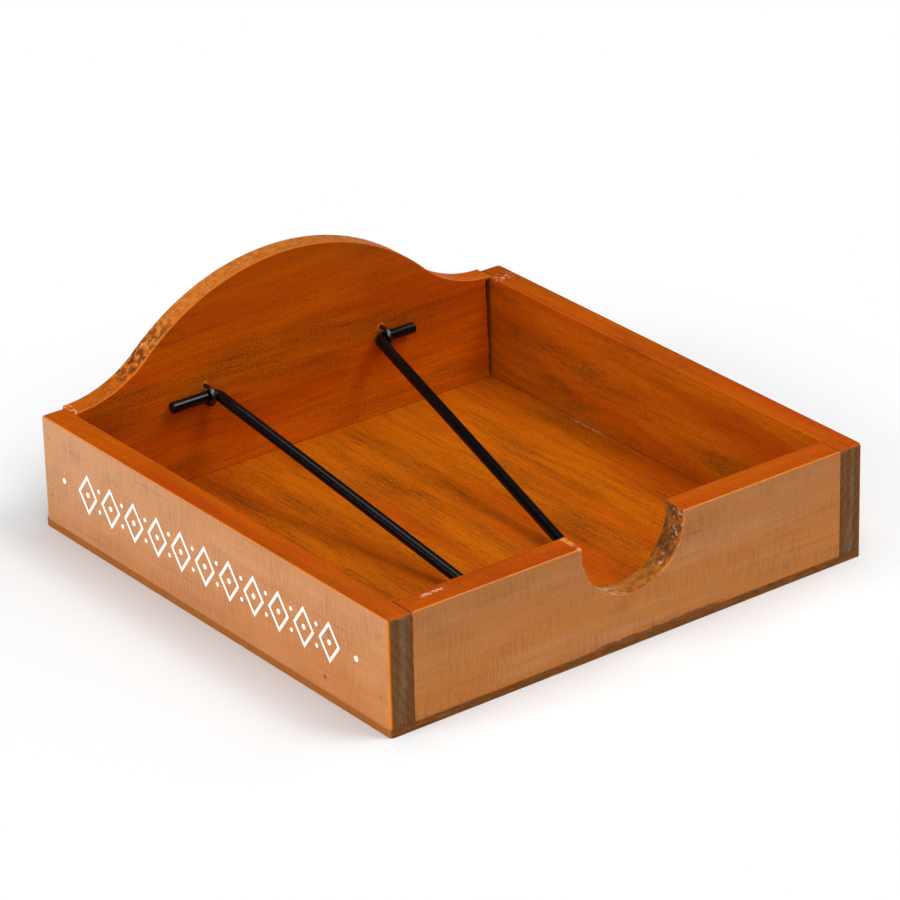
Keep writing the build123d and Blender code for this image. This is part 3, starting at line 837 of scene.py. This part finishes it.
# ---------------------------------------------------------------------------------------------
# Wire arm: one length of 4 mm wire, bent cold and dipped in black enamel. The two stubs turn under
# the staples, the two arms lean towards each other, and the cross bar lies on the napkins.
# ---------------------------------------------------------------------------------------------
WIRE_RADIUS = 2.0
ROOT_BEND = 3.0
TOE_BEND = 6.0
WIRE_END = 0.5
LEFT_ROOT, RIGHT_ROOT = -32.7, 36.4
LEFT_TOE, RIGHT_TOE = -22.2, 18.9
ARM_REACH = 132.0
BEND_POINTS = 14
END_STEPS = 6
NAIL_TIP = 0.15
WIRE_BLACK = (0.002, 0.0022, 0.002, 1.0)
DUST_GREY = (0.05, 0.05, 0.05, 1.0)
DUST_AMOUNT = 0.2
BLOTCH_SCALE = 700.0
DUST_SCALE = 2600.0


def bent_path(corners, radii):
    """A flat polyline with an arc at each inner corner: the arc's centre is out along the half angle."""
    corners = np.array(corners, float)
    points = [corners[:1]]
    for before, corner, after, radius in zip(corners, corners[1:], corners[2:], radii):
        back_way = (before - corner) / np.linalg.norm(before - corner)
        on_way = (after - corner) / np.linalg.norm(after - corner)
        half = np.arccos(np.clip(back_way @ on_way, -1, 1)) / 2
        middle = (back_way + on_way) / np.linalg.norm(back_way + on_way)
        centre = corner + middle * radius / np.sin(half)
        start = corner + back_way * radius / np.tan(half) - centre
        end = corner + on_way * radius / np.tan(half) - centre
        turn = np.pi - 2 * half
        share = np.linspace(0, 1, BEND_POINTS)[:, None]
        arc = np.sin((1 - share) * turn) * start + np.sin(share * turn) * end
        points.append(centre + arc / np.sin(turn))
    points.append(corners[-1:])
    return np.vstack(points)


def tube(name, path, plane_normal, radius, end_round, sides=40, point_length=0.0):
    """A round wire: a circle carried along a flat path, tumbled or pointed at both ends.

    The circle at each point lies in the plane of the path's normal and of the miter of its two
    runs. At an end the circle shrinks by r * (1 - sin(angle)) over r * (1 - cos(angle)), which
    rounds the cut; a point shrinks steadily over its length instead.
    """
    run = np.diff(path, axis=0)
    run = run / np.linalg.norm(run, axis=1)[:, None]
    tangent = np.vstack([run[:1], run[:-1] + run[1:], run[-1:]])
    tangent = tangent / np.linalg.norm(tangent, axis=1)[:, None]
    angle = np.linspace(0, np.pi / 2, END_STEPS)
    draw_in = end_round * (1 - np.cos(angle))
    size = radius - end_round * (1 - np.sin(angle))
    if point_length:
        draw_in = np.linspace(0, point_length, END_STEPS)
        size = np.linspace(NAIL_TIP, radius, END_STEPS)
    first = path[0] + run[0] * draw_in[:, None]
    last = (path[-1] - run[-1] * draw_in[:, None])[::-1]
    line = np.vstack([first, path[1:-1], last])
    along = np.vstack([np.tile(run[0], (END_STEPS, 1)), tangent[1:-1], np.tile(run[-1], (END_STEPS, 1))])
    girth = np.hstack([size, np.full(len(path) - 2, radius), size[::-1]])
    across = np.cross(along, plane_normal)
    around = np.linspace(0, 2 * np.pi, sides, endpoint=False)
    ring = (np.cos(around)[None, :, None] * across[:, None, :]
            + np.sin(around)[None, :, None] * np.array(plane_normal)[None, None, :])
    places = (line[:, None, :] + girth[:, None, None] * ring).reshape(-1, 3)
    index = np.arange(len(places)).reshape(len(line), sides)
    after = np.roll(index, -1, axis=1)
    quads = np.stack([index[:-1], after[:-1], after[1:], index[1:]], axis=-1).reshape(-1, 4)
    return add_mesh(name, places, quads, [index[0, ::-1], index[-1]])


def enamel(name, base, smoothest, roughest, shine):
    """Black stoving enamel: its gloss is uneven, and a trace of grey dust lies on it."""
    paint = Finish(name)
    spot = paint.node("TexCoord").other("Object")
    blotch = paint.node("TexNoise", {}, {"Vector": spot, "Scale": BLOTCH_SCALE, "Detail": 3.0})
    grit = paint.node("TexNoise", {}, {"Vector": spot, "Scale": DUST_SCALE, "Detail": 2.0})
    black = blend(grit.step(0.58, 0.78) * DUST_AMOUNT, base, DUST_GREY)
    bump = paint.node("Bump", {}, {"Strength": 0.12, "Distance": 0.1 * MM, "Height": blotch + grit * 0.5})
    shader = paint.node("BsdfPrincipled", {}, {
        "Base Color": black, "Roughness": blotch * (roughest - smoothest) + smoothest,
        "Specular IOR Level": shine, "Normal": bump})
    paint.node("OutputMaterial", {}, {"Surface": shader})
    return paint.material


hinge = frame["joints"][0]
pivot = np.array(hinge["pos_m"]) / MM
arm_low, arm_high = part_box("napkin_arm")
bar_z = arm_low.z / MM + WIRE_RADIUS
arm_slope = np.arcsin((pivot[2] - bar_z) / ARM_REACH)
down_arm = np.array([0.0, -np.cos(arm_slope), -np.sin(arm_slope)])
arm_corners = [(arm_low.x / MM, 0), (LEFT_ROOT, 0), (LEFT_TOE, ARM_REACH),
               (RIGHT_TOE, ARM_REACH), (RIGHT_ROOT, 0), (arm_high.x / MM, 0)]
arm_flat = bent_path(arm_corners, [ROOT_BEND, TOE_BEND, TOE_BEND, ROOT_BEND])
arm_path = pivot + arm_flat[:, :1] * np.array([1.0, 0.0, 0.0]) + arm_flat[:, 1:] * down_arm
arm_normal = np.cross([1.0, 0.0, 0.0], down_arm)
arm_piece = tube("wire_arm", arm_path, arm_normal, WIRE_RADIUS, WIRE_END)
arm_piece.data.materials.append(enamel("black_enamel", WIRE_BLACK, 0.10, 0.26, 0.22))
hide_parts("napkin_arm")
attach(arm_piece, "arm")

# ---------------------------------------------------------------------------------------------
# Staples: thin round wire bent to a U over each stub and driven into the back board, just outboard
# of the arm, so that the arm can swing. They were painted black with the wire.
# ---------------------------------------------------------------------------------------------
STAPLE_WIRE_RADIUS = 0.8
STAPLE_POINT = 2.0
STAPLE_END = 0.1
STAPLE_BLACK = (0.003, 0.003, 0.003, 1.0)

staple_paint = enamel("staple_enamel", STAPLE_BLACK, 0.05, 0.14, 0.9)
for side in ("left", "right"):
    low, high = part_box(f"{side}_staple")
    staple_x = (low.x + high.x) / 2 / MM
    bow = (high.z - low.z) / 2 / MM - STAPLE_WIRE_RADIUS
    crown_angle = np.linspace(np.pi / 2, 3 * np.pi / 2, 25)
    crown = pivot[1:] + bow * np.stack([np.cos(crown_angle), np.sin(crown_angle)], axis=-1)
    legs_end = high.y / MM
    flat = np.vstack([[legs_end, pivot[2] + bow], crown, [legs_end, pivot[2] - bow]])
    path = np.column_stack([np.full(len(flat), staple_x), flat])
    piece = tube(f"{side}_u_staple", path, (1.0, 0.0, 0.0), STAPLE_WIRE_RADIUS, STAPLE_END, 28, STAPLE_POINT)
    piece.data.materials.append(staple_paint)
    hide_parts(f"{side}_staple")
    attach(piece, "holder")

# ---------------------------------------------------------------------------------------------
# Studio: a pale floor that fades to white round the object, a soft key lamp high in front to the
# right, a broad lamp overhead, soft fills from the left, the right and the front, and the camera
# where the photograph was taken from.
# ---------------------------------------------------------------------------------------------
FLOOR_HALF = 6
FLOOR_GREY = (0.81, 0.82, 0.825, 1.0)
WHITE = (1.0, 1.0, 1.0, 1.0)
SHADOW_REACH = 0.12
WHITE_REACH = 0.23

floor_mesh = bpy.data.meshes.new("studio_floor")
floor_corners = [(x * FLOOR_HALF, y * FLOOR_HALF, 0) for x, y in ((-1, -1), (1, -1), (1, 1), (-1, 1))]
floor_mesh.from_pydata(floor_corners, [], [(0, 1, 2, 3)])
studio_floor = bpy.data.objects.new("studio_floor", floor_mesh)
bpy.context.scene.collection.objects.link(studio_floor)
pale = Finish("pale_floor")
rays = pale.node("LightPath")
seen = rays.other("Is Camera Ray").math("MAXIMUM", rays.other("Is Glossy Ray"))
seen = seen.math("MAXIMUM", rays.other("Is Transmission Ray"))
spot = pale.node("TexCoord").other("Object")
away = pale.node("VectorMath", {"operation": "LENGTH"}, {"Vector": spot}).other("Value")
matt = pale.node("BsdfDiffuse", {}, {"Color": FLOOR_GREY})
glow = pale.node("Emission", {}, {"Color": WHITE, "Strength": 1.0})
surface = pale.node("MixShader", {}, {0: seen * away.step(SHADOW_REACH, WHITE_REACH), 1: matt, 2: glow})
pale.node("OutputMaterial", {}, {"Surface": surface})
floor_mesh.materials.append(pale.material)

AIR_LIGHT = 0.03
world = bpy.data.worlds.new("studio_air")
bpy.context.scene.world = world
world.use_nodes = True
world.node_tree.nodes["Background"].inputs["Color"].default_value = WHITE
world.node_tree.nodes["Background"].inputs["Strength"].default_value = AIR_LIGHT
LAMP_TARGET = (0.0, 0.0, 0.02)


def soft_lamp(name, place, size, watts):
    """A square lamp of that size in metres at place, turned to LAMP_TARGET."""
    data = bpy.data.lights.new(name, "AREA")
    data.shape, data.size, data.energy = "SQUARE", size, watts
    lamp = bpy.data.objects.new(name, data)
    bpy.context.scene.collection.objects.link(lamp)
    lamp.location = place
    lamp.rotation_mode = "QUATERNION"
    lamp.rotation_quaternion = (Vector(LAMP_TARGET) - Vector(place)).to_track_quat("-Z", "Y")


soft_lamp("key_lamp", (0.50, -0.60, 1.20), 0.6, 10.0)
soft_lamp("top_lamp", (0.0, 0.10, 1.50), 1.2, 9.0)
soft_lamp("left_fill", (-1.40, 0.10, 0.45), 0.9, 15.0)
soft_lamp("right_fill", (1.20, 0.0, 0.80), 1.0, 5.0)
soft_lamp("front_fill", (-0.60, -1.05, 0.85), 1.0, 6.5)

CAMERA_AZIMUTH = -36.921
CAMERA_ELEVATION = 25.716
CAMERA_ROLL = -1.444
CAMERA_DISTANCE = 1.686529
CAMERA_TARGET = (0.049598, 0.064300, -0.005688)
FOCAL_PIXELS = 4798.17
PHOTO_WIDTH = 900
SENSOR_WIDTH = 36.0
azimuth, elevation, roll = np.radians([CAMERA_AZIMUTH, CAMERA_ELEVATION, CAMERA_ROLL])
flat_share = np.cos(elevation)
back = Vector((np.sin(azimuth) * flat_share, -np.cos(azimuth) * flat_share, np.sin(elevation)))
level = Vector((np.cos(azimuth), np.sin(azimuth), 0.0))
upright = back.cross(level)
right = level * np.cos(roll) + upright * np.sin(roll)
up = upright * np.cos(roll) - level * np.sin(roll)
camera_data = bpy.data.cameras.new("photo_camera")
camera_data.sensor_width = SENSOR_WIDTH
camera_data.lens = SENSOR_WIDTH * FOCAL_PIXELS / PHOTO_WIDTH
camera_data.clip_start, camera_data.clip_end = 0.01, 50.0
camera = bpy.data.objects.new("photo_camera", camera_data)
bpy.context.scene.collection.objects.link(camera)
eye = Vector(CAMERA_TARGET) + back * CAMERA_DISTANCE
camera.matrix_world = Matrix.Translation(eye) @ Matrix((right, up, back)).transposed().to_4x4()
bpy.context.scene.camera = camera
bpy.context.scene.view_settings.view_transform = "Standard"
